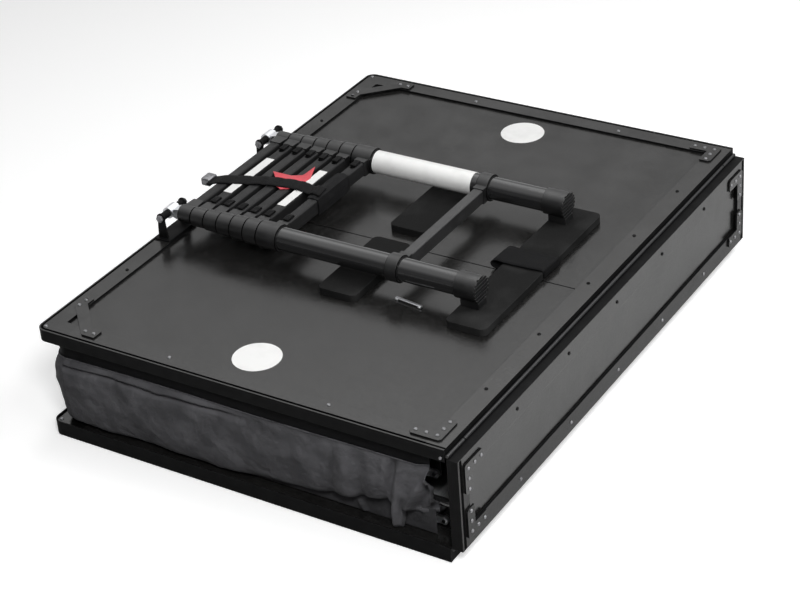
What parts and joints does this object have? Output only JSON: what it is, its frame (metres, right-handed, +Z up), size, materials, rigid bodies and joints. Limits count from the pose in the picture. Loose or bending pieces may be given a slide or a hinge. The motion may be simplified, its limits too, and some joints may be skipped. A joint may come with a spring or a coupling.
{
  "type": "roof top tent",
  "caption": "Folding roof top tent, shut: hinged floor halves and spine with folded canvas, mattress and bows between, mounting rails below and a telescopic ladder on the lid.",
  "frame": {"origin": "middle of the underside of the folded part", "axes": "+X from the free side to the hinge side, +Y along the hinges away from the front, +Z up"},
  "size_m": [1.0864, 1.4, 0.3735],
  "materials": {
    "panel": "textured",
    "frame": "satin",
    "aluminium": "satin",
    "steel": "satin",
    "mattress": "woven",
    "canvas": "woven",
    "rubber": "matt",
    "webbing": "woven",
    "buckle": "matt",
    "ladder_metal": "satin",
    "ladder_plastic": "matt"
  },
  "bodies": {
    "base": {"base_panel": "panel", "base_rim": "frame", "base_hinge_rail": "frame", "mounting_rails": "aluminium", "base_mattress": "mattress", "canvas_lower": "canvas", "lower_hinge_base_leaf": "aluminium"},
    "spine": {"spine_panel": "panel", "spine_frame": "frame", "spine_plates": "frame", "spine_bolts": "steel", "lower_hinge_spine_leaf": "aluminium", "upper_hinge_spine_leaf": "aluminium", "hinge_pins": "steel", "main_bow": "aluminium"},
    "lid": {"lid_panel_front": "panel", "lid_panel_back": "panel", "lid_rim": "frame", "lid_hinge_rail": "frame", "lid_plates": "frame", "lid_bolts": "steel", "upper_hinge_lid_leaf": "aluminium", "lid_mattress": "mattress", "canvas_upper": "canvas", "ladder_rests": "rubber", "rest_strap": "webbing", "ladder_brackets": "frame", "pivot_bolts": "steel"},
    "lower_bow": {"lower_bow": "aluminium"},
    "upper_bow": {"upper_bow": "aluminium"},
    "ladder_1": {"ladder_section_1": "ladder_metal", "ladder_collars_1": "ladder_plastic", "ladder_tongues": "aluminium"},
    "ladder_2": {"ladder_section_2": "ladder_metal", "ladder_collars_2": "ladder_plastic"},
    "ladder_3": {"ladder_section_3": "ladder_metal", "ladder_collars_3": "ladder_plastic"},
    "ladder_4": {"ladder_section_4": "ladder_metal", "ladder_collars_4": "ladder_plastic"},
    "ladder_5": {"ladder_section_5": "ladder_metal", "ladder_collars_5": "ladder_plastic"},
    "ladder_6": {"ladder_section_6": "ladder_metal", "ladder_collars_6": "ladder_plastic"},
    "ladder_7": {"ladder_section_7": "ladder_metal", "ladder_collars_7": "ladder_plastic", "ladder_feet": "rubber", "ladder_strap": "webbing", "strap_buckle": "buckle"},
    "latch_2_near": {"latch_2_near": "ladder_plastic"},
    "latch_2_far": {"latch_2_far": "ladder_plastic"},
    "latch_3_near": {"latch_3_near": "ladder_plastic"},
    "latch_3_far": {"latch_3_far": "ladder_plastic"},
    "latch_4_near": {"latch_4_near": "ladder_plastic"},
    "latch_4_far": {"latch_4_far": "ladder_plastic"},
    "latch_5_near": {"latch_5_near": "ladder_plastic"},
    "latch_5_far": {"latch_5_far": "ladder_plastic"},
    "latch_6_near": {"latch_6_near": "ladder_plastic"},
    "latch_6_far": {"latch_6_far": "ladder_plastic"},
    "latch_7_near": {"latch_7_near": "ladder_plastic"},
    "latch_7_far": {"latch_7_far": "ladder_plastic"}
  },
  "joints": [
    {"name": "spine_fold", "type": "hinge", "parent": "base", "child": "spine", "pos_m": [0.51115, 0, 0.034], "axis": [0, 1, 0], "range_deg": [0, 90]},
    {"name": "lid_fold", "type": "hinge", "parent": "spine", "child": "lid", "pos_m": [0.51115, 0, 0.268], "axis": [0, 1, 0], "range_deg": [0, 90]},
    {"name": "lower_bow_swing", "type": "hinge", "parent": "base", "child": "lower_bow", "pos_m": [0.46185, 0, 0.057], "axis": [0, 1, 0], "range_deg": [0, 45]},
    {"name": "upper_bow_swing", "type": "hinge", "parent": "lid", "child": "upper_bow", "pos_m": [0.44685, 0, 0.172], "axis": [0, 1, 0], "range_deg": [-45, 0]},
    {"name": "ladder_swing", "type": "hinge", "parent": "lid", "child": "ladder_1", "pos_m": [-0.51715, 0, 0.341], "axis": [0, -1, 0], "range_deg": [0, 110]},
    {"name": "ladder_slide_2", "type": "slide", "parent": "ladder_1", "child": "ladder_2", "axis": [1, 0, 0], "range_m": [0, 0.27]},
    {"name": "ladder_slide_3", "type": "slide", "parent": "ladder_2", "child": "ladder_3", "axis": [1, 0, 0], "range_m": [0, 0.27]},
    {"name": "ladder_slide_4", "type": "slide", "parent": "ladder_3", "child": "ladder_4", "axis": [1, 0, 0], "range_m": [0, 0.27]},
    {"name": "ladder_slide_5", "type": "slide", "parent": "ladder_4", "child": "ladder_5", "axis": [1, 0, 0], "range_m": [0, 0.27]},
    {"name": "ladder_slide_6", "type": "slide", "parent": "ladder_5", "child": "ladder_6", "axis": [1, 0, 0], "range_m": [0, 0.27]},
    {"name": "ladder_slide_7", "type": "slide", "parent": "ladder_6", "child": "ladder_7", "axis": [1, 0, 0], "range_m": [0, 0.27]},
    {"name": "latch_slide_2_near", "type": "slide", "parent": "ladder_2", "child": "latch_2_near", "axis": [0, 1, 0], "range_m": [0, 0.008], "stiffness_N_per_m": 400, "springref_m": -0.004},
    {"name": "latch_slide_2_far", "type": "slide", "parent": "ladder_2", "child": "latch_2_far", "axis": [0, -1, 0], "range_m": [0, 0.008], "stiffness_N_per_m": 400, "springref_m": -0.004},
    {"name": "latch_slide_3_near", "type": "slide", "parent": "ladder_3", "child": "latch_3_near", "axis": [0, 1, 0], "range_m": [0, 0.008], "stiffness_N_per_m": 400, "springref_m": -0.004},
    {"name": "latch_slide_3_far", "type": "slide", "parent": "ladder_3", "child": "latch_3_far", "axis": [0, -1, 0], "range_m": [0, 0.008], "stiffness_N_per_m": 400, "springref_m": -0.004},
    {"name": "latch_slide_4_near", "type": "slide", "parent": "ladder_4", "child": "latch_4_near", "axis": [0, 1, 0], "range_m": [0, 0.008], "stiffness_N_per_m": 400, "springref_m": -0.004},
    {"name": "latch_slide_4_far", "type": "slide", "parent": "ladder_4", "child": "latch_4_far", "axis": [0, -1, 0], "range_m": [0, 0.008], "stiffness_N_per_m": 400, "springref_m": -0.004},
    {"name": "latch_slide_5_near", "type": "slide", "parent": "ladder_5", "child": "latch_5_near", "axis": [0, 1, 0], "range_m": [0, 0.008], "stiffness_N_per_m": 400, "springref_m": -0.004},
    {"name": "latch_slide_5_far", "type": "slide", "parent": "ladder_5", "child": "latch_5_far", "axis": [0, -1, 0], "range_m": [0, 0.008], "stiffness_N_per_m": 400, "springref_m": -0.004},
    {"name": "latch_slide_6_near", "type": "slide", "parent": "ladder_6", "child": "latch_6_near", "axis": [0, 1, 0], "range_m": [0, 0.008], "stiffness_N_per_m": 400, "springref_m": -0.004},
    {"name": "latch_slide_6_far", "type": "slide", "parent": "ladder_6", "child": "latch_6_far", "axis": [0, -1, 0], "range_m": [0, 0.008], "stiffness_N_per_m": 400, "springref_m": -0.004},
    {"name": "latch_slide_7_near", "type": "slide", "parent": "ladder_7", "child": "latch_7_near", "axis": [0, 1, 0], "range_m": [0, 0.008], "stiffness_N_per_m": 400, "springref_m": -0.004},
    {"name": "latch_slide_7_far", "type": "slide", "parent": "ladder_7", "child": "latch_7_far", "axis": [0, -1, 0], "range_m": [0, 0.008], "stiffness_N_per_m": 400, "springref_m": -0.004}
  ],
  "couplings": [
    {"joint": "lower_bow_swing", "follows": "spine_fold", "ratio": 0.5},
    {"joint": "upper_bow_swing", "follows": "lid_fold", "ratio": -0.5}
  ]
}
